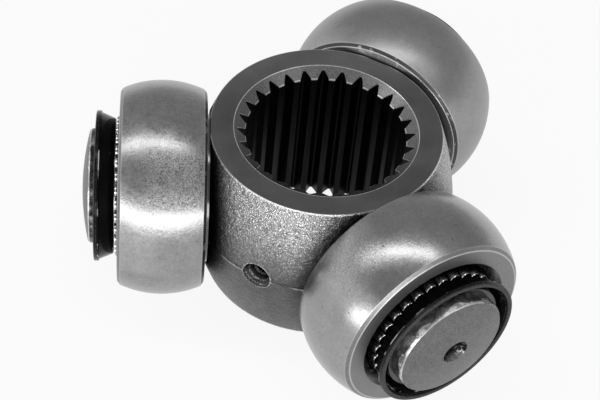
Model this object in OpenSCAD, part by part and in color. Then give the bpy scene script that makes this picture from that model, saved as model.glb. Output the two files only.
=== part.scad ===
// Tripod spider of a constant-velocity joint, with three crowned rollers on needle bearings.
// Millimetres. The origin is the joint centre, +Z runs along the shaft, and the trunnions lie in the XY plane.

/* [Hub] */
// Height of the hub along the shaft
hub_h = 30.2; // [27:0.1:36]
// Outer radius of the two machined end faces
hub_face_r = 19.7; // [18:0.1:24]
// How far the belly stands out past the end faces
hub_bulge = 3.5; // [2.6:0.1:5]
// Draft angle of the forging's sides at its parting line
hub_draft = 5; // [1:0.5:6]
// How far each trunnion's seat lies inside the end face radius
seat_cut = 0.15; // [0:0.05:0.6]
// Height that the forging's parting line stands proud
flash_h = 0.1; // [0.05:0.01:0.3]
// Width of the parting line
flash_w = 0.4; // [0.3:0.1:1.5]

/* [Spline] */
// Number of spline grooves
spline_teeth = 28; // [18:1:36]
// Reference diameter of the spline
spline_ref_d = 29.3; // [26:0.1:32]
// Pressure angle of the spline
spline_angle = 30; // [28:0.5:33]
// Extra depth of the groove roots past the reference diameter
spline_root_gap = 0.45; // [0.3:0.05:0.5]
// How far the lead cone's mouth at the upper face stands past the groove roots
spline_lead = 0.6; // [0.2:0.1:1.2]
// Angle between the lead cone and the upper face
lead_angle = 35; // [25:1:50]
// Turn of the first groove away from the line through the first trunnion
spline_turn = -0.6; // [-6:0.1:6]

/* [Trunnion] */
// Radius of the ground journal
trunnion_r = 9.9; // [8.5:0.05:11]
// Depth of the grinding relief at the journal's foot
relief_d = 0.25; // [0.1:0.05:0.5]
// Width of the grinding relief
relief_w = 0.6; // [0.3:0.1:1.2]
// Depth of the snap ring groove
ring_groove_d = 0.7; // [0.4:0.05:1]
// Length of the nose outside the snap ring groove
nose_l = 2.45; // [1.8:0.05:3.4]
// Radial size of the chamfer on the nose's rim
nose_chamfer = 0.25; // [0.1:0.01:0.5]
// Number of shallow flats round the nose
nose_flats = 9; // [6:1:12]
// Depth of those flats at the rim
nose_flat_d = 0.3; // [0.2:0.05:0.7]
// Slope of those flats to the trunnion's axis
nose_flat_angle = 14; // [8:1:20]

/* [Centre drillings] */
// Mouth radius of the drilling in each trunnion's end
tip_drill_r = 2.33; // [1.8:0.01:3]
// Mouth radius of the drilling in the belly, opposite each trunnion
belly_drill_r = 2.6; // [2:0.05:3.2]
// Depth of the recess that guards the belly drilling's cone
belly_recess = 1; // [0.5:0.1:1.6]
// Width of the ledge at the bottom of that recess
belly_step = 0.5; // [0.2:0.1:0.7]
// Radius of the pilot hole in both
pilot_r = 1.15; // [0.8:0.05:1.4]
// Depth of the pilot hole past its cone
pilot_l = 1.6; // [1:0.1:2.5]

/* [Needles] */
// Diameter of a needle
needle_d = 2.25; // [1.8:0.05:2.8]
// How much longer a needle is than the roller's width
needle_over = 0; // [-1:0.1:1]
// Chamfer on a needle's ends
needle_chamfer = 0.25; // [0.1:0.01:0.4]
// Smallest gap between neighbouring needles
needle_space = 0.05; // [0.04:0.01:0.1]
// Radial running clearance on each side of the needles
running_gap = 0.04; // [0.02:0.01:0.08]
// End play of the needles at each end
end_play = 0.15; // [0.08:0.01:0.3]

/* [Rollers] */
// Largest radius of a roller, at its crown
crown_r = 18.5; // [17.5:0.05:21]
// Radius of the crown's curve along the trunnion
crown_curve_r = 17.1; // [15:0.1:30]
// Width of a roller
roller_w = 14.8; // [13:0.1:16]
// Outer radius of a roller's flat sides
side_r = 16.4; // [15.4:0.05:16.8]
// Angle between the edge chamfer and the flat side
edge_angle = 38; // [25:1:50]
// How much wider the bore's mouth is than the bore
bore_lead = 1.45; // [1:0.05:1.8]
// Depth of the bore's mouth
bore_lead_l = 1.2; // [0.8:0.05:2]
// Gap between a roller's inner side and the hub's seat
roller_gap = 0.45; // [0.3:0.05:1]

/* [Inner washer] */
// How far the washer reaches past the journal
washer_w = 2.9; // [2.6:0.05:3.1]
// Thickness of the washer
washer_th = 0.8; // [0.6:0.05:1]
// Clearance of the washer, cup and snap ring round the trunnion
slip_gap = 0.08; // [0.05:0.01:0.2]

/* [Retainer cup] */
// Thickness of the cup's sheet
sheet = 0.8; // [0.6:0.05:1]
// How far the cup's wall stands outside the journal at the web
cup_foot = 1.75; // [1.6:0.05:2]
// How far the wall flares from web to lip
cup_flare = 1.05; // [0.8:0.05:1.2]
// Height of the cup from web to lip
cup_h = 3.4; // [2.8:0.05:3.8]
// Width of the lip past the wall
lip_w = 0.3; // [0.2:0.05:0.6]
// Thickness of the lip
lip_th = 0.9; // [0.6:0.05:1]

/* [Snap ring] */
// Thickness of the snap ring
ring_th = 1.1; // [0.8:0.05:1.4]
// Radial width of the snap ring
ring_w = 1.35; // [1.1:0.05:1.6]
// Width of the snap ring's gap
ring_gap = 5; // [3:0.5:8]

/* [Hidden] */
$fn = 120;
eps = 0.01;

// Angles of the trunnions round the shaft: left, front and back
arm_angles = [180, 300, 60];

hub_belly_r = hub_face_r + hub_bulge;
// Each half of the hub's side is an arc that leaves the parting line at the draft angle
hub_curve_r = (hub_h * hub_h / 4 + hub_bulge * hub_bulge)
    / (2 * hub_bulge * cos(hub_draft) - hub_h * sin(hub_draft));
hub_curve_x = hub_belly_r - hub_curve_r * cos(hub_draft);
hub_curve_z = hub_curve_r * sin(hub_draft);
seat_t = hub_face_r - seat_cut;

// Stack of pieces along a trunnion, as distances from the joint centre
needle_l = roller_w + needle_over;
washer_t = seat_t + eps;
needle_t = washer_t + washer_th + end_play;
web_t = needle_t + needle_l + end_play;
ring_t = web_t + sheet + end_play / 3;
groove_t = web_t + sheet;
groove_end_t = ring_t + ring_th + end_play / 3;
rim_t = groove_end_t + nose_l;
roller_t = seat_t + roller_gap + roller_w / 2;

// Radii of the stack
rim_r = trunnion_r - nose_chamfer;
end_sphere_r = sqrt(rim_t * rim_t + rim_r * rim_r);
// The domed end falls away by this much at the drilling's mouth
tip_dish = end_sphere_r - sqrt(end_sphere_r * end_sphere_r - tip_drill_r * tip_drill_r);
needle_r = needle_d / 2;
needle_pitch_r = trunnion_r + running_gap + needle_r;
bore_r = needle_pitch_r + needle_r + running_gap;
needle_count = floor(180 / asin((needle_r + needle_space / 2) / needle_pitch_r));
groove_r = trunnion_r - ring_groove_d;
cup_foot_r = trunnion_r + cup_foot;
cup_wall_r = cup_foot_r + cup_flare;
ring_r = groove_r + slip_gap + ring_w;

// Involute spline with its grooves' sides standing on the base circle
spline_module = spline_ref_d / (spline_teeth + 1.3);
spline_pitch_r = spline_module * spline_teeth / 2;
spline_base_r = spline_pitch_r * cos(spline_angle);
spline_shift = (spline_ref_d - spline_module * (spline_teeth + 1.1)) / 2;
spline_minor_r = spline_ref_d / 2 - spline_module;
spline_root_r = spline_ref_d / 2 + spline_root_gap;
spline_mouth_r = spline_root_r + spline_lead;

// Involute function of a pressure angle, in degrees
function involute(a) = tan(a) * 180 / PI - a;
// Half the angle that a groove takes up at radius r, which stays open down to its root
function groove_half(r) = max(0.2,
    90 / spline_teeth + spline_shift * tan(spline_angle) / spline_pitch_r * 180 / PI
    + involute(spline_angle) - involute(acos(spline_base_r / r)));
function at(r, a) = [r * cos(a), r * sin(a)];

// Stands its children, built up along +Z, on the trunnion at that angle
module on_arm(angle) {
    rotate([0, 0, angle]) rotate([0, 90, 0]) children();
}

// Barrel-shaped forging, before the seats are cut
module hub_barrel() {
    rotate_extrude() intersection() {
        translate([hub_curve_x, hub_curve_z]) circle(r = hub_curve_r);
        translate([hub_curve_x, -hub_curve_z]) circle(r = hub_curve_r);
        translate([0, -hub_h / 2]) square([hub_belly_r + 1, hub_h]);
    }
    translate([0, 0, -flash_w / 2]) cylinder(r = hub_belly_r + flash_h, h = flash_w);
}

// One spline groove, from just inside the bore to its root
module spline_groove() {
    steps = 4;
    inner_r = spline_minor_r - 0.3;
    radii = [for (i = [0 : steps]) inner_r + (spline_root_r - inner_r) * i / steps];
    linear_extrude(height = hub_h + 2, center = true)
        polygon(concat(
            [for (r = radii) at(r, -groove_half(r))],
            [for (i = [steps : -1 : 0]) at(radii[i], groove_half(radii[i]))]
        ));
}

// Splined bore with a lead cone at the upper face, where the shaft goes in
module spline_bore() {
    cone_r = spline_minor_r - 0.4;
    slope = tan(lead_angle);
    cylinder(r = spline_minor_r, h = hub_h + 2, center = true);
    for (i = [0 : spline_teeth - 1]) rotate([0, 0, spline_turn + i * 360 / spline_teeth])
        spline_groove();
    translate([0, 0, hub_h / 2 - (spline_mouth_r - cone_r) * slope])
        cylinder(r1 = cone_r, r2 = spline_mouth_r + 1, h = (spline_mouth_r + 1 - cone_r) * slope);
}

// Centre drilling with its mouth at z = 0, and its recess, 60 degree cone and pilot hole below
module centre_drilling(mouth_r, recess, step) {
    cone_r = mouth_r - step;
    cone_l = (cone_r - pilot_r) / tan(30);
    tip_l = pilot_r / 2;
    rotate_extrude() polygon([
        [0, 2], [mouth_r, 2], [mouth_r, -recess], [cone_r, -recess],
        [pilot_r, -recess - cone_l], [pilot_r, -recess - cone_l - pilot_l],
        [0, -recess - cone_l - pilot_l - tip_l]
    ]);
}

// Trunnion with its relief, snap ring groove and chamfered nose
module trunnion() {
    over = end_sphere_r + 1;
    chamfer_slope = 2;
    rotate_extrude() polygon([
        [0, spline_mouth_r + 1], [trunnion_r - relief_d, spline_mouth_r + 1],
        [trunnion_r - relief_d, seat_t + relief_w], [trunnion_r, seat_t + relief_w + relief_d],
        [trunnion_r, groove_t], [groove_r, groove_t],
        [groove_r, groove_end_t], [trunnion_r, groove_end_t],
        [trunnion_r, rim_t - nose_chamfer * chamfer_slope],
        [rim_r - (over - rim_t) / chamfer_slope, over], [0, over]
    ]);
}

// Shallow flats left round the nose where the end was trimmed
module nose_flat_cuts() {
    block = 8;
    for (i = [0 : nose_flats - 1]) rotate([0, 0, (i + 0.5) * 360 / nose_flats])
        translate([trunnion_r - nose_flat_d, 0, rim_t])
            rotate([0, -nose_flat_angle, 0])
                translate([0, -block / 2, -nose_l * 0.8]) cube([block, block, 2 * block]);
}

// Forged and machined spider: hub, spline and three trunnions in one piece
module spider() {
    color([0.42, 0.42, 0.43])
    difference() {
        union() {
            difference() {
                hub_barrel();
                for (angle = arm_angles) on_arm(angle)
                    translate([0, 0, seat_t + hub_belly_r / 2])
                        cube([2 * hub_h, 4 * hub_belly_r, hub_belly_r], center = true);
            }
            intersection() {
                union() for (angle = arm_angles) on_arm(angle) difference() {
                    trunnion();
                    nose_flat_cuts();
                }
                sphere(r = end_sphere_r);
            }
        }
        spline_bore();
        for (angle = arm_angles) {
            on_arm(angle) translate([0, 0, end_sphere_r])
                centre_drilling(tip_drill_r, tip_dish, 0.02);
            on_arm(angle + 180) translate([0, 0, hub_belly_r])
                centre_drilling(belly_drill_r, belly_recess, belly_step);
        }
    }
}

// Crowned roller with chamfered edges and a leaded bore
module roller(angle) {
    half = roller_w / 2;
    reach = 5;
    rise = reach * tan(edge_angle);
    color([0.72, 0.72, 0.73])
    on_arm(angle) translate([0, 0, roller_t])
    rotate_extrude() intersection() {
        translate([crown_r - crown_curve_r, 0]) circle(r = crown_curve_r);
        polygon([
            [bore_r, bore_lead_l - half], [bore_r + bore_lead, -half],
            [side_r, -half], [side_r + reach, rise - half],
            [side_r + reach, half - rise], [side_r, half],
            [bore_r + bore_lead, half], [bore_r, half - bore_lead_l]
        ]);
    }
}

// Full complement of loose needles round one trunnion
module needles(angle) {
    color([0.8, 0.8, 0.81])
    on_arm(angle) for (i = [0 : needle_count - 1])
        rotate([0, 0, i * 360 / needle_count]) translate([needle_pitch_r, 0, needle_t])
            rotate_extrude($fn = 24) polygon([
                [0, 0], [needle_r - needle_chamfer, 0], [needle_r, needle_chamfer],
                [needle_r, needle_l - needle_chamfer], [needle_r - needle_chamfer, needle_l], [0, needle_l]
            ]);
}

// Thin steel washer between the needles and the hub's seat
module inner_washer(angle) {
    color([0.75, 0.75, 0.76])
    on_arm(angle) translate([0, 0, washer_t]) difference() {
        cylinder(r = trunnion_r + washer_w, h = washer_th);
        translate([0, 0, -1]) cylinder(r = trunnion_r + slip_gap, h = washer_th + 2);
    }
}

// Black pressed cup: web over the needle ends, flared wall and outer lip
module retainer(angle) {
    lip_t = cup_h - lip_th;
    color([0.08, 0.08, 0.09])
    on_arm(angle) translate([0, 0, web_t]) rotate_extrude() polygon([
        [trunnion_r + slip_gap, 0], [cup_foot_r, 0], [cup_wall_r, lip_t], [cup_wall_r + lip_w, lip_t],
        [cup_wall_r + lip_w, cup_h], [cup_wall_r + lip_w - sheet, cup_h], [cup_foot_r - sheet, sheet],
        [trunnion_r + slip_gap, sheet]
    ]);
}

// Split ring in the trunnion's groove, outside the cup's web
module snap_ring(angle) {
    color([0.25, 0.25, 0.26])
    on_arm(angle) translate([0, 0, ring_t]) difference() {
        cylinder(r = ring_r, h = ring_th);
        translate([0, 0, -1]) cylinder(r = groove_r + slip_gap, h = ring_th + 2);
        translate([-ring_r - 1, -ring_gap / 2, -1]) cube([ring_r + 1, ring_gap, ring_th + 2]);
    }
}

spider();
roller(arm_angles[0]);  // roller_a
roller(arm_angles[1]);  // roller_b
roller(arm_angles[2]);  // roller_c
needles(arm_angles[0]);  // needles_a
needles(arm_angles[1]);  // needles_b
needles(arm_angles[2]);  // needles_c
inner_washer(arm_angles[0]);  // inner_washer_a
inner_washer(arm_angles[1]);  // inner_washer_b
inner_washer(arm_angles[2]);  // inner_washer_c
retainer(arm_angles[0]);  // retainer_a
retainer(arm_angles[1]);  // retainer_b
retainer(arm_angles[2]);  // retainer_c
snap_ring(arm_angles[0]);  // snap_ring_a
snap_ring(arm_angles[1]);  // snap_ring_b
snap_ring(arm_angles[2]);  // snap_ring_c
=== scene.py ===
import math
from types import SimpleNamespace

import bmesh
import bpy
from mathutils import Matrix, Vector


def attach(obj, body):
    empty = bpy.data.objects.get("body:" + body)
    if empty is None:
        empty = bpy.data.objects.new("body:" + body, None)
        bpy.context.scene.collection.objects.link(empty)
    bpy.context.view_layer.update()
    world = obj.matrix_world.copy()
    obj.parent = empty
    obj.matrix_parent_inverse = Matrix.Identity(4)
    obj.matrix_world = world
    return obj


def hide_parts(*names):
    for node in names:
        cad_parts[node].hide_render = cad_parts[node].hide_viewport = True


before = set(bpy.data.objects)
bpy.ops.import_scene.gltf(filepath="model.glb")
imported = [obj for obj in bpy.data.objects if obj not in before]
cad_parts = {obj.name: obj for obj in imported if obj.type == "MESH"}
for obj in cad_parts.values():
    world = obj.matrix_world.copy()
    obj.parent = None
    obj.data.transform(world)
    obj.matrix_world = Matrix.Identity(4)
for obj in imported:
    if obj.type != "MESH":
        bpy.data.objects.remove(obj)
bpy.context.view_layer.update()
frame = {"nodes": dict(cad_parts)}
nodes = frame["nodes"]
print("frame loaded:", len(nodes), "nodes")

mm = 0.001
arms = {"a": 180, "b": 300, "c": 60}  # angle of each trunnion round the shaft, in degrees


# Camera: where it stands round the joint, and the point of the joint that it keeps in the frame
camera = {
    "azimuth": -6.490,
    "elevation": 46.736,
    "roll": 5.963,
    "distance": 327.392,
    "focalPixels": 1879.310,
    "originPixel": (319.790, 190.214),
    "imageSize": (600, 400),
    "sensor": 36.0,
    "clip": (0.01, 20),
}


# Which way is towards an azimuth and an elevation, where azimuth 0 is the front
def towards(azimuth, elevation):
    a, e = math.radians(azimuth), math.radians(elevation)
    return Vector((math.sin(a) * math.cos(e), -math.cos(a) * math.cos(e), math.sin(e)))


def placeCamera(c):
    azimuth, roll = math.radians(c["azimuth"]), math.radians(c["roll"])
    back = towards(c["azimuth"], c["elevation"])
    right = Vector((math.cos(azimuth), math.sin(azimuth), 0))
    up = back.cross(right)
    across = math.cos(roll) * right + math.sin(roll) * up
    upwards = math.cos(roll) * up - math.sin(roll) * right
    width, height = c["imageSize"]
    perPixel = c["distance"] / c["focalPixels"]
    place = (
        back * c["distance"]
        - across * (c["originPixel"][0] - width / 2) * perPixel
        + upwards * (c["originPixel"][1] - height / 2) * perPixel
    )
    data = bpy.data.cameras.new("camera")
    data.sensor_width = c["sensor"]
    data.lens = c["focalPixels"] * c["sensor"] / width
    data.clip_start, data.clip_end = c["clip"]
    viewer = bpy.data.objects.new("camera", data)
    viewer.matrix_world = placed(across, upwards, back, place * mm)
    bpy.context.scene.collection.objects.link(viewer)
    bpy.context.scene.camera = viewer


# The matrix of an object at a place, from the directions of its own axes
def placed(xAxis, yAxis, zAxis, place):
    return Matrix([(xAxis[i], yAxis[i], zAxis[i], place[i]) for i in range(3)] + [(0, 0, 0, 1)])


placeCamera(camera)
print("camera placed")


# Node maths: an Output is a node's output that plain Python arithmetic works on
class Output:
    def __init__(self, nodes, socket):
        self.nodes, self.socket = nodes, socket

    def math(self, operation, *values):
        return self.nodes.node("ShaderNodeMath", {"operation": operation}, values)

    def __add__(self, other):
        return self.math("ADD", self, other)

    def __sub__(self, other):
        return self.math("SUBTRACT", self, other)

    def __rsub__(self, other):
        return self.math("SUBTRACT", other, self)

    def __mul__(self, other):
        return self.math("MULTIPLY", self, other)

    def __truediv__(self, other):
        return self.math("DIVIDE", self, other)

    def __abs__(self):
        return self.math("ABSOLUTE", self)

    __radd__, __rmul__ = __add__, __mul__

    def least(self, other):
        return self.math("MINIMUM", self, other)

    def most(self, other):
        return self.math("MAXIMUM", self, other)

    def root(self):
        return self.math("SQRT", self)

    # 0 below low, 1 above high, smooth between; low may be the larger
    def step(self, low, high):
        settings = {"interpolation_type": "SMOOTHSTEP", "clamp": True}
        ends = {"Value": self, "From Min": low, "From Max": high}
        if low > high:
            ends.update({"From Min": high, "From Max": low, "To Min": 1.0, "To Max": 0.0})
        return self.nodes.node("ShaderNodeMapRange", settings, ends)

    # 1 from the edge on, fading in just before it
    def past(self, edge, fade=0.02):
        return self.step(edge - fade, edge)

    # 1 up to the edge, fading out just after it
    def upTo(self, edge, fade=0.02):
        return self.step(edge + fade, edge)

    # 1 within halfWidth of centre, fading over soft
    def band(self, centre, halfWidth, soft):
        return abs(self - centre).step(halfWidth + soft, halfWidth)

    # a noise that swings by half the amount to both sides of 0
    def swing(self, amount):
        return (self - 0.5) * amount


# Nodes: any node tree, and the one way that a node is added to it
class Nodes:
    def __init__(self, tree):
        self.tree = tree
        tree.nodes.clear()

    # a node's type, its settings, then its sockets by order or by name
    def node(self, kind, settings=None, inputs=(), out=0):
        made = self.tree.nodes.new(kind)
        for key, value in (settings or {}).items():
            setattr(made, key, value)
        pairs = inputs.items() if isinstance(inputs, dict) else enumerate(inputs)
        for key, value in pairs:
            if isinstance(value, Output):
                self.tree.links.new(value.socket, made.inputs[key])
            else:
                made.inputs[key].default_value = value
        return Output(self, made.outputs[out] if len(made.outputs) else None)

    def parts(self, vector):
        return [self.node("ShaderNodeSeparateXYZ", {}, [vector], out=k) for k in range(3)]

    def vector(self, x, y, z):
        return self.node("ShaderNodeCombineXYZ", {}, [x, y, z])

    def blend(self, factor, low, high):
        return low + (high - low) * factor

    # each pair of a zone and its value lies over the ones before it
    def layers(self, base, *pairs):
        for zone, value in pairs:
            base = self.blend(zone, base, value)
        return base


# Finish: one material, with its object coordinates in millimetres
class Finish(Nodes):
    def __init__(self, name, turn=0.0):
        self.material = bpy.data.materials.new(name)
        self.material.use_nodes = True
        super().__init__(self.material.node_tree)
        place = self.node("ShaderNodeTexCoord", out="Object")
        if turn:
            sockets = {"Vector": place, "Rotation": (0, 0, -math.radians(turn))}
            place = self.node("ShaderNodeMapping", {}, sockets)
        sockets = {0: place, "Scale": 1 / mm}
        self.place = self.node("ShaderNodeVectorMath", {"operation": "SCALE"}, sockets)
        self.x, self.y, self.z = self.parts(self.place)

    def noise(self, scale, detail=2.0, roughness=0.5, place=None, shift=(0, 0, 0)):
        where = self.place if place is None else place
        if any(shift):
            where = self.node("ShaderNodeVectorMath", {"operation": "ADD"}, {0: where, 1: shift})
        sockets = {"Vector": where, "Scale": scale, "Detail": detail, "Roughness": roughness}
        return self.node("ShaderNodeTexNoise", {}, sockets)

    def grey(self, level, tint=1.0):
        return self.vector(level, level, level * tint)

    def bump(self, height, distance):
        return self.node("ShaderNodeBump", {}, {"Height": height, "Distance": distance * mm})

    def shade(self, varying, fixed):
        shader = self.node("ShaderNodeBsdfPrincipled", {}, {**fixed, **varying}, out="BSDF")
        self.node("ShaderNodeOutputMaterial", {}, {"Surface": shader})
        return self.material

    # how bright and how rough the metal is, its relief, and how deep that relief goes
    def metal(self, level, rough, relief, depth, tint=1.0):
        bump = self.bump(relief, depth)
        varying = {"Base Color": self.grey(level, tint), "Roughness": rough, "Normal": bump}
        return self.shade(varying, {"Metallic": 1.0})


skin = 0.01  # how far under a surface its zone begins
steelTint = 1.01  # the blue of forged and ground steel, as a share of its red


def paint(piece, material):
    piece.data.materials.clear()
    piece.data.materials.append(material)


# The distance from the shaft's axis, and the place along and across the nearest of three
# directions that stand 120 degrees apart
def foldedArms(f, turn):
    third = 2 * math.pi / 3
    around = f.y.math("ARCTAN2", f.y, f.x) + (math.radians(turn) + 4 * third)
    nearest = around.math("MODULO", around, third) - third / 2
    radius = (f.x * f.x + f.y * f.y).root()
    along = radius * nearest.math("COSINE", nearest)
    across = radius * nearest.math("SINE", nearest)
    return radius, along, across


# Spider: where its surfaces are, how bright each is, from 0 to 1, and how rough
spider = {
    "faceZ": 15.1, "faceRadius": 19.7, "bellyRadius": 23.2, "partingHalf": 0.16,
    "leadRadius": 15.7, "leadSlope": 0.7002, "landRadius": 13.65,
    "seat": 19.55, "seatRadius": 14.8, "journal": 19.60, "journalRadius": 9.97,
    "nose": 37.46, "endSphere": 41.03, "tipDrill": 2.31, "tipFrom": 39.3, "tipTo": 40.7,
    "bellyDrill": 2.6, "drillBottom": 15.8, "drillMouth": 20.5, "drillHighlightRings": {21.9: 0.22, 20.9: 0.14},
    "bellyLevel": 0.18, "faceLevel": 0.142, "leadLevel": 0.17, "boreLevel": 0.004, "landLevel": 0.005,
    "journalLevel": 0.34, "shoulderLevel": 0.045, "noseLevel": 0.48, "rubbedLevel": 0.72, "endLevel": 0.165,
    "drillShadeLevel": 0.012, "toothEdgeLevel": 0.55, "highlightLineLevel": 0.8, "level": 0.20,
    "rough": 0.36, "bellyRough": 0.37, "faceRough": 0.40, "boreRough": 0.45, "journalRough": 0.20,
    "noseRough": 0.42, "tipRough": 0.30, "lineRough": 0.25, "depth": 0.30,
}


def spiderZones(f, s):
    zone = SimpleNamespace()
    zone.radius, zone.along, across = foldedArms(f, 0)
    _, zone.behind, aside = foldedArms(f, 60)
    zone.fromAxis = (across * across + f.z * f.z).root()
    zone.fromDrill = (aside * aside + f.z * f.z).root()
    zone.height = abs(f.z)
    zone.face = zone.height.past(s["faceZ"] - skin) * zone.radius.past(s["leadRadius"])

    hole = zone.radius.upTo(s["leadRadius"] - skin)
    underCone = (zone.radius - s["leadRadius"]) * s["leadSlope"] + s["faceZ"] - f.z
    zone.lead = hole * underCone.upTo(0.02, 0.03)
    zone.bore = hole * (1 - zone.lead)
    zone.land = zone.bore * zone.radius.upTo(s["landRadius"] + 2 * skin, 0.04)
    # painted highlights along the teeth's edges
    edgeInBore = zone.bore * underCone.band(0.12, 0.07, 0.05)
    edgeInLead = zone.lead * zone.radius.band(s["landRadius"] + 2 * skin, 0.07, 0.05)
    zone.toothEdge = edgeInBore.most(edgeInLead)

    seat = zone.along.past(s["seat"] - 2 * skin) * zone.fromAxis.upTo(s["seatRadius"], 0.1)
    zone.journal = zone.along.past(s["journal"]) * zone.fromAxis.upTo(s["journalRadius"], 0.03)
    zone.nose = zone.along.past(s["nose"], 0.1)
    zone.shoulder = seat * (1 - zone.journal) * (1 - zone.nose)
    zone.reach = (zone.along * zone.along + zone.fromAxis * zone.fromAxis).root()
    zone.end = zone.nose * zone.reach.past(s["endSphere"], 0.03)
    zone.tip = zone.nose * zone.fromAxis.upTo(s["tipDrill"], 0.04)
    zone.drill = zone.fromDrill.upTo(s["bellyDrill"] - skin, 0.04) * zone.behind.past(s["drillBottom"], 0.05)
    zone.belly = 1 - zone.face.most(seat).most(zone.journal).most(hole)
    return zone


# What the blasting, the machining and the wear left on the steel
def spiderMarks(f, zone):
    roundShaft = f.vector(zone.radius * 9.0, f.z * 0.15, 0.0)
    roundTrunnion = f.vector(zone.along * 7.0, zone.fromAxis * 7.0, 2.0)
    alongSpline = f.vector(f.x * 0.9, f.y * 0.9, f.z * 0.08)
    return SimpleNamespace(
        peen=f.noise(1.1, 2, 0.6),
        grit=f.noise(4.2, 2, 0.7, shift=(3, 7, 1)),
        spark=f.noise(5.6, 1, 0.5, shift=(9, 2, 4)).step(0.52, 0.68),
        dent=f.noise(4.6, 2, 0.6, shift=(1, 5, 9)).step(0.50, 0.36),
        cloud=f.noise(0.12, 3, 0.55, shift=(5, 5, 5)),
        fine=f.noise(4.5, 2, 0.6, shift=(1, 8, 2)),
        turned=f.noise(1.0, 2, 0.6, place=roundShaft),
        ground=f.noise(1.0, 2, 0.6, place=roundTrunnion),
        streak=f.noise(1.0, 2, 0.6, place=alongSpline, shift=(6, 2, 3)).step(0.36, 0.66),
        broken=f.noise(0.35, 2, 0.6, shift=(2, 4, 8)).step(0.42, 0.55),
        bright=f.noise(0.35, 2, 0.6, shift=(4, 3, 9)).step(0.56, 0.64),
        rubbed=f.noise(0.32, 2, 0.6, shift=(7, 1, 2)).step(0.46, 0.58),
        smudge=f.noise(0.8, 3, 0.7, shift=(3, 3, 3)).step(0.56, 0.42),
        tipGlint=f.noise(1.5, 2, 0.6, shift=(2, 2, 5)).step(0.53, 0.63),
    )


# Painted highlights as thin bright lines: the rims of the faces, the parting line, the drillings' and the
# noses' edges
def spiderHighlightLines(f, s, zone, mark):
    parting = zone.height.upTo(s["partingHalf"], 0.08) * zone.radius.past(s["bellyRadius"], 0.1) * mark.broken
    rim = zone.radius.past(s["faceRadius"] - 0.05, 0.07) * zone.height.past(s["faceZ"] - 0.2, 0.14)
    mouth = zone.radius.band(s["leadRadius"], 0.05, 0.04) * f.z.past(s["faceZ"] - 0.06, 0.06)
    drill = zone.fromDrill.band(s["bellyDrill"] + 0.03, 0.05, 0.04) * zone.behind.past(s["drillMouth"], 0.5)
    nose = zone.nose * zone.reach.band(s["endSphere"] - 0.13, 0.08, 0.06) * zone.fromAxis.past(5.0, 1.0)
    highlightLines = (rim * (mark.grit * 2.0 - 0.3)).most(mouth * 0.8)
    highlightLines = highlightLines.most(drill * mark.grit.step(0.36, 0.56) * zone.belly * 0.8).most(parting * zone.belly * 0.3)
    return highlightLines.most(nose * (mark.fine * 1.6 - 0.1))


def spiderLevel(f, s, zone, mark, highlightLines):
    upper = f.z.step(-1.0, 14.0)  # painted light: the top half is painted lighter than the underside, and its sparkle and dents lie there, as light falls from above
    paintedShadeByRollers = zone.along.step(15.0, 19.3)  # painted shade on the belly beside the rollers, where they shade it
    farSide = f.y.step(6.0, 19.0)  # the end face is brighter there
    deep = f.z.step(10.0, -16.0)  # the spline's lands catch more light towards the lower face
    paintedShadeLeftNose = f.x.step(-34.0, -35.0)  # painted shade: the left trunnion's nose is painted darker than the others
    inTip = zone.along.step(s["tipFrom"], s["tipTo"])
    # painted light: the lower wall of the belly's drilling, near its mouth
    paintedLitDrillWall = zone.behind.step(21.0, 22.4) * f.z.step(0.6, -1.2)

    belly = s["bellyLevel"] + mark.grit.swing(0.34) + mark.peen.swing(0.16) + mark.cloud.swing(0.12)
    belly = belly * (0.62 + upper * 0.98) + mark.spark * upper * 0.60 - mark.dent * upper * 0.20
    land = (s["landLevel"] + mark.streak * 0.010 + mark.fine.swing(0.012)) * (0.02 + deep * 0.98)
    nose = f.blend(mark.rubbed, s["noseLevel"] - paintedShadeLeftNose * 0.43, s["rubbedLevel"] - paintedShadeLeftNose * 0.38)
    nose = (nose + mark.fine.swing(0.6 - paintedShadeLeftNose * 0.4)) * (1 - mark.smudge * 0.55)
    end = s["endLevel"] + mark.fine.swing(0.26) + mark.peen.swing(0.08) + mark.cloud.swing(0.08)
    # painted glints in the nose's drilling, and painted light on its lower wall near the mouth
    tip = inTip * (mark.tipGlint * 0.30 + f.z.step(-1.1, -1.9) * 0.16) + mark.fine.swing(0.06)
    # painted highlights on rings at the steps inside the belly's drilling
    rings = sum(zone.behind.band(place, 0.10, 0.10) * level for place, level in s["drillHighlightRings"].items())
    drill = paintedLitDrillWall * 0.07 + rings * mark.grit.step(0.34, 0.54) + mark.fine.swing(0.03)
    return f.layers(
        s["level"] + mark.cloud.swing(0.10),
        (zone.belly, belly.most(0.015) * (1 - paintedShadeByRollers * 0.9)),
        (zone.face, s["faceLevel"] + farSide * 0.055 + mark.turned.swing(0.05) + mark.cloud.swing(0.14)),
        (zone.lead, s["leadLevel"] + mark.fine.swing(0.34)),
        # painted shade: the spline's bore and its lands are near black, as deep in shade
        (zone.bore, s["boreLevel"] + mark.fine.swing(0.004)),
        (zone.land, land),
        (zone.journal, s["journalLevel"] + mark.ground.swing(0.10)),
        (zone.shoulder, s["shoulderLevel"] + mark.bright * 0.35),
        (zone.nose, nose.most(0.01)),
        (zone.end, end * (1 - paintedShadeLeftNose * 0.25)),
        # painted shade: the drilled holes are near black inside
        (zone.tip, s["drillShadeLevel"] + tip),
        (zone.drill, s["drillShadeLevel"] + drill),
        (zone.toothEdge, s["toothEdgeLevel"]),
        (highlightLines, s["highlightLineLevel"]),
    )


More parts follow.
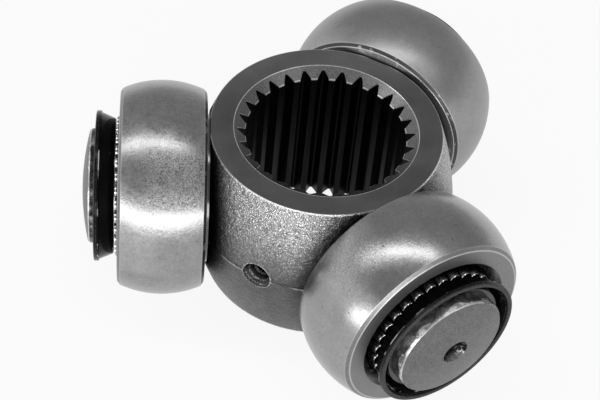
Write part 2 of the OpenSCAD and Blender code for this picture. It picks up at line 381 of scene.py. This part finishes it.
def spiderFinish(s):
    f = Finish("spiderSteel")
    zone = spiderZones(f, s)
    mark = spiderMarks(f, zone)
    highlightLines = spiderHighlightLines(f, s, zone, mark)
    rough = f.layers(
        s["rough"] + mark.cloud.swing(0.10),
        (zone.belly, s["bellyRough"] - mark.spark * 0.12),
        (zone.face, s["faceRough"] + mark.turned.swing(0.10)),
        (zone.bore, s["boreRough"]),
        (zone.journal, s["journalRough"]),
        (zone.nose, s["noseRough"]),
        (zone.tip, s["tipRough"]),
        (highlightLines, s["lineRough"]),
    )
    blasted = zone.belly * (mark.peen * 0.7 + mark.grit * 0.45)
    trimmed = zone.nose * (1 - zone.end) * (mark.grit * 0.22 + mark.rubbed * 0.12)
    machined = mark.turned * 0.008 + mark.ground * zone.journal * 0.006 + mark.fine * 0.01
    relief = blasted + trimmed + (1 - zone.belly) * machined
    return f.metal(spiderLevel(f, s, zone, mark, highlightLines), rough, relief, s["depth"], steelTint)


paint(nodes["spider"], spiderFinish(spider))
print("spider finished")


# Inner washers and snap rings: how bright and rough they are, and by how much both vary
washer = {"level": 0.13, "levelSwing": 0.08, "rough": 0.14, "roughSwing": 0.08, "depth": 0.01}
snapRing = {"level": 0.08, "levelSwing": 0.06, "rough": 0.30, "roughSwing": 0.20, "depth": 0.008}


def smallPartFinish(name, p):
    f = Finish(name)
    grain = f.noise(3.0, 3, 0.6)
    level, rough = p["level"] + grain.swing(p["levelSwing"]), p["rough"] + grain.swing(p["roughSwing"])
    return f.metal(level, rough, grain, p["depth"])


washerSteel, springSteel = smallPartFinish("washerSteel", washer), smallPartFinish("springSteel", snapRing)
for key in arms:
    paint(nodes["inner_washer_" + key], washerSteel)
    paint(nodes["snap_ring_" + key], springSteel)
print("washers and snap rings finished")


# Spun pieces: each corner of the closed outline is (along the trunnion, radius, rounding) in mm
spinning = {"sides": 192, "cornerSteps": 5, "support": 0.08, "mostCut": 0.45}


def roundedOutline(corners, p):
    outline = []
    count, steps, support = len(corners), p["cornerSteps"], p["support"]
    for i in range(count):
        before, here, after = (Vector(corners[(i + k) % count][:2]) for k in (-1, 0, 1))
        size = corners[i][2]
        if not size:
            outline.append(here)
            continue
        into, out = (before - here).normalized(), (after - here).normalized()
        half = into.angle(out) / 2
        room = p["mostCut"] * min((before - here).length, (after - here).length)
        cut = min(size / math.tan(half), room)
        size = cut * math.tan(half)
        centre = here + (into + out).normalized() * (size / math.sin(half))
        first, last = here + into * cut - centre, here + out * cut - centre
        sweep = first.angle(last)
        outline.append(here + into * (cut + support))
        for k in range(steps + 1):
            start, stop = math.sin((1 - k / steps) * sweep), math.sin(k / steps * sweep)
            outline.append(centre + (first * start + last * stop) / math.sin(sweep))
        outline.append(here + out * (cut + support))
    return outline


def spun(name, outline, angle, material, body, node):
    mesh = bmesh.new()
    turn = Matrix.Rotation(math.radians(angle), 3, "Z")
    sides, rings = spinning["sides"], []
    for i in range(sides):
        a = 2 * math.pi * i / sides
        rings.append([
            mesh.verts.new(turn @ Vector((t, r * math.cos(a), r * math.sin(a))) * mm) for t, r in outline
        ])
    for i in range(sides):
        here, beside = rings[i], rings[(i + 1) % sides]
        for k in range(len(outline)):
            n = (k + 1) % len(outline)
            mesh.faces.new((here[k], here[n], beside[n], beside[k])).smooth = True
    bmesh.ops.recalc_face_normals(mesh, faces=mesh.faces)
    data = bpy.data.meshes.new(name)
    mesh.to_mesh(data)
    mesh.free()
    piece = bpy.data.objects.new(name, data)
    bpy.context.scene.collection.objects.link(piece)
    paint(piece, material)
    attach(piece, body)
    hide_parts(node)


# Crowned rollers: their shape, a patch of the crown that wear pitted and a patch of painted highlight, and
# the steel's look.
# A patch faces its turn above the arms' plane, and lies between two places across the roller
roller = {
    "centre": 27.40, "width": 14.8, "crown": 18.5, "crownCurve": 17.1, "side": 16.4, "edgeAngle": 38,
    "bore": 12.23, "mouth": 1.45, "mouthLength": 1.2, "edgeRound": 0.12, "boreRound": 0.3, "crownSteps": 26,
    "rim": (6.88, 17.06),  # where the look of the crown ends: across from the middle, and its radius
    "pitted": {"turn": 50, "faces": (0.945, 0.985), "span": (6.8, 1.0)},
    "paintedSheen": {"turn": 6, "faces": (0.955, 0.995), "span": (-3.0, 4.0)},
    "level": 0.31, "sideLevel": 0.23, "innerShadeLevel": 0.10, "rimLevel": 0.21, "boreLevel": 0.10,
    "edgeHighlightLevel": 0.55, "rough": 0.28, "sideRough": 0.48, "innerRough": 0.50, "rimRough": 0.36,
    "boreRough": 0.20, "depth": 0.04,
    # how each roller differs: where its patterns start, which side its patches face, how worn it is and how
    # strong its painted highlight is, how much duller
    "own": {
        "a": {"shift": (11, 3, 5), "side": 1, "wearAndSheen": 1.0, "duller": 0.0},
        "b": {"shift": (2, 17, 9), "side": -1, "wearAndSheen": 0.4, "duller": -0.03},
        "c": {"shift": (7, 6, 21), "side": 1, "wearAndSheen": 0.1, "duller": 0.09},
    },
}


# Where the edge chamfer, rising from the flat side, meets the crown's curve
def rollerEdge(p):
    half, slope = p["width"] / 2, math.tan(math.radians(p["edgeAngle"]))
    above = p["side"] - (p["crown"] - p["crownCurve"])
    a, b = 1 + slope * slope, 2 * above - 2 * half * slope
    c = above ** 2 + half ** 2 - p["crownCurve"] ** 2
    run = (-b + math.sqrt(b * b - 4 * a * c)) / (2 * a)
    return half - run * slope, p["side"] + run


def rollerOutline(p):
    half, mouth, soft, bend = p["width"] / 2, p["bore"] + p["mouth"], p["edgeRound"], p["boreRound"]
    edgeAlong, edgeRadius = rollerEdge(p)
    corners = [
        (-half + p["mouthLength"], p["bore"], bend), (-half, mouth, soft),
        (-half, p["side"], soft), (-edgeAlong, edgeRadius, soft),
    ]
    curve, reach = p["crownCurve"], math.asin(edgeAlong / p["crownCurve"])
    for k in range(1, p["crownSteps"]):
        a = reach * (2 * k / p["crownSteps"] - 1)
        corners.append((curve * math.sin(a), p["crown"] - curve + curve * math.cos(a), 0))
    corners += [
        (edgeAlong, edgeRadius, soft), (half, p["side"], soft),
        (half, mouth, soft), (half - p["mouthLength"], p["bore"], bend),
    ]
    return [(p["centre"] + t, r) for t, r in roundedOutline(corners, spinning)]


def rollerZones(f, p, own):
    half, (edgeAlong, edgeRadius) = p["width"] / 2, p["rim"]
    outwards = f.x - p["centre"]
    across = abs(outwards)
    fromAxis = (f.y * f.y + f.z * f.z).root()

    def patch(turn, faces, span):
        a = math.radians(turn)
        facing = (f.y * (math.cos(a) * own["side"]) + f.z * math.sin(a)) / fromAxis
        return facing.step(*faces) * outwards.step(*span) * own["wearAndSheen"]

    zone = SimpleNamespace(pitted=patch(**p["pitted"]), paintedSheen=patch(**p["paintedSheen"]))
    zone.side = across.past(half - 2 * skin)
    zone.bore = fromAxis.upTo(p["bore"] + p["mouth"] - 2 * skin, 0.05)
    zone.rim = (1 - zone.side) * (1 - fromAxis.past(edgeRadius + 2 * skin, 0.1)) * (1 - zone.bore)
    zone.inward = outwards.upTo(-1.0, 1.0)
    zone.outerPart = fromAxis.step(14.6, 15.8)
    # painted highlights along the edges of the side and of the crown
    sideEdge = across.band(half - 2 * skin, 0.06, 0.05) * fromAxis.band(p["side"], 0.1, 0.05)
    crownEdge = across.band(edgeAlong, 0.1, 0.1) * fromAxis.band(edgeRadius, 0.05, 0.05)
    zone.edges = sideEdge.most(crownEdge * 0.4)
    return zone


# Fine scratches round the crown, mottling, stains, small pits, and spots of painted glint
def rollerMarks(f, shift):
    round = f.vector(f.x * 5.0, f.y * 0.35, f.z * 0.35)
    return SimpleNamespace(
        scratch=f.noise(1.0, 3, 0.65, place=round, shift=shift),
        mottle=f.noise(0.16, 3, 0.6, shift=shift),
        grain=f.noise(2.2, 3, 0.65, shift=shift),
        stain=f.noise(0.6, 3, 0.65, shift=shift[::-1]),
        speck=f.noise(3.8, 3, 0.8, shift=shift[::-1]).step(0.34, 0.66),
        pit=f.noise(1.3, 2, 0.55, shift=shift).step(0.68, 0.75),
        glint=f.noise(0.45, 2, 0.6, shift=shift).step(0.58, 0.68),
    )


def rollerLevel(f, p, zone, mark, wearAndSheen):
    grain, inward = mark.grain, zone.inward
    level = p["level"] + mark.mottle.swing(0.10) + mark.stain.swing(0.05 + wearAndSheen * 0.08)
    level = level + grain.swing(0.09 + wearAndSheen * 0.11) + mark.scratch.swing(0.06) - mark.pit * 0.10
    # the pitted patch darkens the crown with specks; the other patch is a painted highlight that lightens it
    level = level + (0.35 - mark.speck) * zone.pitted * 0.30 + zone.paintedSheen * 0.08
    # painted shade on the roller's inner side, which faces the hub; its outer ring is lighter, with painted
    # glints
    inner = p["innerShadeLevel"] + zone.outerPart * (0.34 + mark.glint * 0.40) + grain.swing(0.12)
    return f.layers(
        level,
        (zone.side, p["sideLevel"] + grain.swing(0.07) + mark.mottle.swing(0.05)),
        (zone.side * inward, inner),
        # painted shade on the inner half of the rim, with painted glints
        (zone.rim, (p["rimLevel"] + grain.swing(0.16)) * (1 - inward * 0.7) + inward * mark.glint * 0.3),
        (zone.bore, p["boreLevel"] + grain.swing(0.05)),
        (zone.edges * 0.7, p["edgeHighlightLevel"]),
    )


def rollerFinish(name, angle, p, own):
    f = Finish(name, turn=angle)
    zone, mark, wearAndSheen = rollerZones(f, p, own), rollerMarks(f, own["shift"]), own["wearAndSheen"]
    rough = p["rough"] + own["duller"] + mark.mottle.swing(0.08) + mark.stain.swing(0.06 + wearAndSheen * 0.10)
    rough = rough + mark.grain.swing(0.04 + wearAndSheen * 0.08) + zone.pitted * mark.speck * 0.1
    rough = f.layers(
        rough,
        (zone.side, p["sideRough"]),
        (zone.side * zone.inward, p["innerRough"]),
        (zone.rim, p["rimRough"]),
        (zone.bore, p["boreRough"]),
    )
    relief = mark.scratch * 0.15 + (mark.grain * 0.4 + mark.stain * 1.5) * (0.25 + wearAndSheen * 0.5)
    relief = relief - mark.pit * 0.15 - zone.pitted * mark.speck * 0.4
    return f.metal(rollerLevel(f, p, zone, mark, wearAndSheen), rough, relief, p["depth"], steelTint)


for key, angle in arms.items():
    steel = rollerFinish("rollerSteel" + key.upper(), angle, roller, roller["own"][key])
    name = "roller_" + key
    spun("crownedRoller" + key.upper(), rollerOutline(roller), angle, steel, name, name)
print("rollers made")


# Retainer cups pressed from sheet: web, flared wall and outer lip, all with soft bends
cup = {
    "web": 35.46, "inner": 9.98, "foot": 11.65, "wall": 12.70, "lip": 13.0, "sheet": 0.8, "height": 3.4,
    "lipThickness": 0.9, "footRound": 0.55, "lipRound": 0.28, "bendRound": 0.30, "mouthRound": 0.22,
    "webRound": 0.1, "level": 0.003, "rough": 0.10, "gloss": 0.08, "depth": 0.02,
}


def cupOutline(p):
    low, high = p["web"], p["web"] + p["height"]
    under, sheet = high - p["lipThickness"], p["sheet"]
    corners = [
        (low, p["inner"], p["webRound"]), (low, p["foot"], p["footRound"]),
        (under, p["wall"], p["bendRound"]), (under, p["lip"], p["lipRound"]),
        (high, p["lip"], p["lipRound"]), (high, p["lip"] - sheet, p["mouthRound"]),
        (low + sheet, p["foot"] - sheet, p["bendRound"]), (low + sheet, p["inner"], p["webRound"]),
    ]
    return roundedOutline(corners, spinning)


# Thin glossy black oxide, slightly uneven and scuffed, with a rubbed lip face, painted glints in dashes under
# the lip and a faint painted glint along its groove
def cupFinish(p):
    f = Finish("blackCup")
    _, along, _ = foldedArms(f, 0)
    edge, lip = p["web"] + p["height"], p["lipThickness"]
    cloud = f.noise(0.5, 3, 0.6)
    grain = f.noise(4.0, 2, 0.6)
    scuff = f.noise(1.1, 4, 0.7, shift=(4, 1, 6)).step(0.62, 0.78)
    glintDashes = f.noise(0.28, 2, 0.6, shift=(8, 3, 2)).step(0.52, 0.62)
    onLip = along.past(edge - 0.08, 0.20) * grain.step(0.30, 0.50)
    underLipGlint = along.band(edge - lip + 0.12, 0.06, 0.06) * glintDashes
    grooveGlint = along.band(edge - lip / 2, 0.05, 0.06) * grain.step(0.35, 0.60)
    level = p["level"] + cloud.swing(0.003) + scuff * 0.03 + onLip * 0.045 + grooveGlint * 0.03 + underLipGlint * 0.45
    rough = p["rough"] + cloud.swing(0.08) + scuff * 0.12 + onLip * 0.25
    relief = f.bump(cloud * 0.5 + grain * 0.2, p["depth"])
    varying = {"Base Color": f.grey(level), "Roughness": rough, "Normal": relief}
    return f.shade(varying, {"Specular IOR Level": p["gloss"]})


blackCup = cupFinish(cup)
for key, angle in arms.items():
    name = "retainerCup" + key.upper()
    spun(name, cupOutline(cup), angle, blackCup, "spider", "retainer_" + key)
print("retainer cups made")


# Needles: a full ring of them round each trunnion, with rounded ends; the sizes are the tree's inputs
needles = {
    "count": 30, "pitchRadius": 11.065, "needleRadius": 1.125, "needleLength": 14.8, "endRound": 0.15,
    "foot": 20.51, "pointsAlong": 14, "pointsRound": 18,
    "level": 0.18, "edgeHighlightLevel": 0.90, "flatShadeLevel": 0.08, "rough": 0.16, "depth": 0.003,
}


# Painted highlights on the rounded ends, and painted shade on the flat ones
def needleFinish(p):
    f = Finish("needleSteel")
    _, along, _ = foldedArms(f, 0)
    end = p["foot"] + p["needleLength"]
    grain = f.noise(1.2, 2, 0.6)
    level = f.layers(
        p["level"] + grain.swing(0.2),
        (along.past(end - 0.12, 0.12), p["edgeHighlightLevel"]),
        (along.past(end - skin), p["flatShadeLevel"] + grain.swing(0.06)),
    )
    return f.metal(level, p["rough"] + grain.swing(0.1), f.noise(6.0, 1, 0.5), p["depth"])


class Shape(Nodes):
    def __init__(self, name):
        super().__init__(bpy.data.node_groups.new(name, "GeometryNodeTree"))
        self.tree.interface.new_socket("Geometry", in_out="OUTPUT", socket_type="NodeSocketGeometry")
        self.given = {}

    def input(self, name, kind):
        socket = self.tree.interface.new_socket(name, in_out="INPUT", socket_type=kind)
        self.given[name] = socket.identifier

    def values(self):
        return {name: self.node("NodeGroupInput", out=name) for name in self.given}


def needleTree(material):
    tree = Shape("needleRing")
    for name in ("count", "pointsAlong", "pointsRound"):
        tree.input(name, "NodeSocketInt")
    for name in ("pitchRadius", "needleRadius", "needleLength", "endRound", "foot"):
        tree.input(name, "NodeSocketFloat")
    value = tree.values()
    share = tree.node("GeometryNodeSplineParameter")
    # points crowd towards both ends, where the needle is rounded
    along = (1 - (share * math.pi).math("COSINE", share * math.pi)) * 0.5 * value["needleLength"]
    fromEnd = along.least(value["needleLength"] - along).least(value["endRound"])
    short = value["endRound"] - fromEnd
    bulge = (value["endRound"] * value["endRound"] - short * short).most(0.0).root()
    scale = (value["needleRadius"] - value["endRound"] + bulge) / value["needleRadius"]
    line = tree.node("GeometryNodeCurvePrimitiveLine", {}, {"End": (0, 0, 1)})
    line = tree.node("GeometryNodeResampleCurve", {}, {"Curve": line, "Count": value["pointsAlong"]})
    place = tree.vector(0.0, 0.0, along + value["foot"])
    line = tree.node("GeometryNodeSetPosition", {}, {"Geometry": line, "Position": place})
    circle = {"Resolution": value["pointsRound"], "Radius": value["needleRadius"]}
    section = tree.node("GeometryNodeCurvePrimitiveCircle", {}, circle)
    body = {"Curve": line, "Profile Curve": section, "Scale": scale, "Fill Caps": True}
    needle = tree.node("GeometryNodeCurveToMesh", {}, body)
    circle = {"Vertices": value["count"], "Radius": value["pitchRadius"]}
    ring = tree.node("GeometryNodeMeshCircle", {}, circle)
    copies = tree.node("GeometryNodeInstanceOnPoints", {}, {"Points": ring, "Instance": needle})
    solid = tree.node("GeometryNodeRealizeInstances", {}, {"Geometry": copies})
    smooth = tree.node("GeometryNodeSetShadeSmooth", {}, {"Geometry": solid})
    finished = tree.node("GeometryNodeSetMaterial", {}, {"Geometry": smooth, "Material": material})
    tree.node("NodeGroupOutput", {}, [finished])
    return tree


def meshFrom(tree, settings, name):
    holder = bpy.data.objects.new(name + "Holder", bpy.data.meshes.new(name + "Holder"))
    bpy.context.scene.collection.objects.link(holder)
    modifier = holder.modifiers.new("nodes", "NODES")
    modifier.node_group = tree.tree
    for key, identifier in tree.given.items():
        modifier[identifier] = settings[key]
    bpy.context.view_layer.update()
    made = holder.evaluated_get(bpy.context.evaluated_depsgraph_get())
    data = bpy.data.meshes.new_from_object(made)
    holder.modifiers.remove(modifier)
    bpy.data.objects.remove(holder)
    data.name = name
    return data


ringOfNeedles = needleTree(needleFinish(needles))
sizes = {k: needles[k] * mm if isinstance(needles[k], float) else needles[k] for k in ringOfNeedles.given}
layDown = Matrix.Rotation(math.radians(90), 4, "Y")
for key, angle in arms.items():
    name = "needleRing" + key.upper()
    data = meshFrom(ringOfNeedles, sizes, name)
    data.transform(Matrix.Rotation(math.radians(angle), 4, "Z") @ layDown)
    piece = bpy.data.objects.new(name, data)
    bpy.context.scene.collection.objects.link(piece)
    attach(piece, "needles_" + key)
    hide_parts("needles_" + key)
print("needles made")


# Stage: a pale floor under the rollers, and a white surround. A gloss is what metal mirrors there,
# and the pair beside it says between which shares of the way it sets in
stage = {
    "floorZ": -18.5, "floorHalf": 1500, "floorColour": 0.9, "floorGlow": 0.9,
    "skyLevel": 0.3,  # light on matt surfaces
    "horizonGloss": 1.0, "backGloss": 0.52, "back": (0.1, 0.5),
    "topGloss": 0.42, "top": (0.35, 0.0),
    "hoodGloss": 0.38, "hoodPlace": (10, 52), "hood": (0.77, 0.96),  # a dark cloth above the front
    "glowGloss": 1.35, "glowPlace": (69, 57), "glow": (0.956, 0.994),  # the overhead lamp's faded end
    "wallGloss": 1.2, "wall": (-0.45, -0.75), "wallTop": (0.65, 0.35),  # a pale wall on the left
}


def makeFloor(s):
    data = bpy.data.meshes.new("floor")
    half, z = s["floorHalf"] * mm, s["floorZ"] * mm
    corners = [(-half, -half, z), (half, -half, z), (half, half, z), (-half, half, z)]
    data.from_pydata(corners, [], [(0, 1, 2, 3)])
    floor = bpy.data.objects.new("floor", data)
    bpy.context.scene.collection.objects.link(floor)
    f = Finish("paleFloor")
    seen = f.node("ShaderNodeLightPath", out="Is Camera Ray")
    for ray in ("Is Glossy Ray", "Is Transmission Ray"):
        seen = seen.most(f.node("ShaderNodeLightPath", out=ray))
    matt = f.node("ShaderNodeBsdfDiffuse", {}, {"Color": (s["floorColour"],) * 3 + (1,)})
    glow = f.node("ShaderNodeEmission")
    mixed = f.node("ShaderNodeMixShader", {}, [seen * s["floorGlow"], matt, glow])
    f.node("ShaderNodeOutputMaterial", {}, {"Surface": mixed})
    data.materials.append(f.material)


def makeWorld(s):
    world = bpy.data.worlds.new("studio")
    world.use_nodes = True
    n = Nodes(world.node_tree)
    direction = n.node("ShaderNodeTexCoord", out="Generated")
    side, back, height = n.parts(direction)

    def closeTo(place):
        sockets = {0: direction, 1: towards(*place)}
        return n.node("ShaderNodeVectorMath", {"operation": "DOT_PRODUCT"}, sockets, out="Value")

    horizon = n.blend(back.step(*s["back"]), s["horizonGloss"], s["backGloss"])
    gloss = n.layers(
        n.blend(height.step(*s["top"]), s["topGloss"], horizon),
        (closeTo(s["hoodPlace"]).step(*s["hood"]), s["hoodGloss"]),
        (closeTo(s["glowPlace"]).step(*s["glow"]), s["glowGloss"]),
        (side.step(*s["wall"]) * height.step(*s["wallTop"]), s["wallGloss"]),
    )
    level = n.blend(n.node("ShaderNodeLightPath", out="Is Glossy Ray"), s["skyLevel"], gloss)
    seen = n.node("ShaderNodeLightPath", out="Is Camera Ray")
    seen = seen.most(n.node("ShaderNodeLightPath", out="Is Transmission Ray"))
    sockets = {"Color": (1, 1, 1, 1), "Strength": n.blend(seen, level, 1.0)}
    light = n.node("ShaderNodeBackground", {}, sockets)
    n.node("ShaderNodeOutputWorld", {}, {"Surface": light})
    bpy.context.scene.world = world


# Two long soft lamps point at the joint; "plan" is the angle of their length seen from above, in degrees
lamps = {
    "frontStrip": {
        "azimuth": -5, "elevation": 11.5, "distance": 800, "size": (2400, 310), "plan": -5, "radiance": 4.0,
    },
    "overheadStrip": {
        "azimuth": -106, "elevation": 76, "distance": 800, "size": (1170, 140), "plan": -9, "radiance": 4.7,
    },
}


def makeLamp(name, p):
    back = towards(p["azimuth"], p["elevation"])
    plan = math.radians(p["plan"])
    across = Vector((math.cos(plan), math.sin(plan), 0))
    across = (across - back * across.dot(back)).normalized()
    length, width = (v * mm for v in p["size"])
    data = bpy.data.lights.new(name, "AREA")
    data.shape, data.size, data.size_y = "RECTANGLE", length, width
    data.energy = p["radiance"] * math.pi * length * width
    lamp = bpy.data.objects.new(name, data)
    lamp.matrix_world = placed(across, back.cross(across), back, back * p["distance"] * mm)
    lamp.visible_camera = False
    bpy.context.scene.collection.objects.link(lamp)


makeFloor(stage)
makeWorld(stage)
for name, settings in lamps.items():
    makeLamp(name, settings)
bpy.context.scene.view_settings.view_transform = "Standard"
print("stage made")
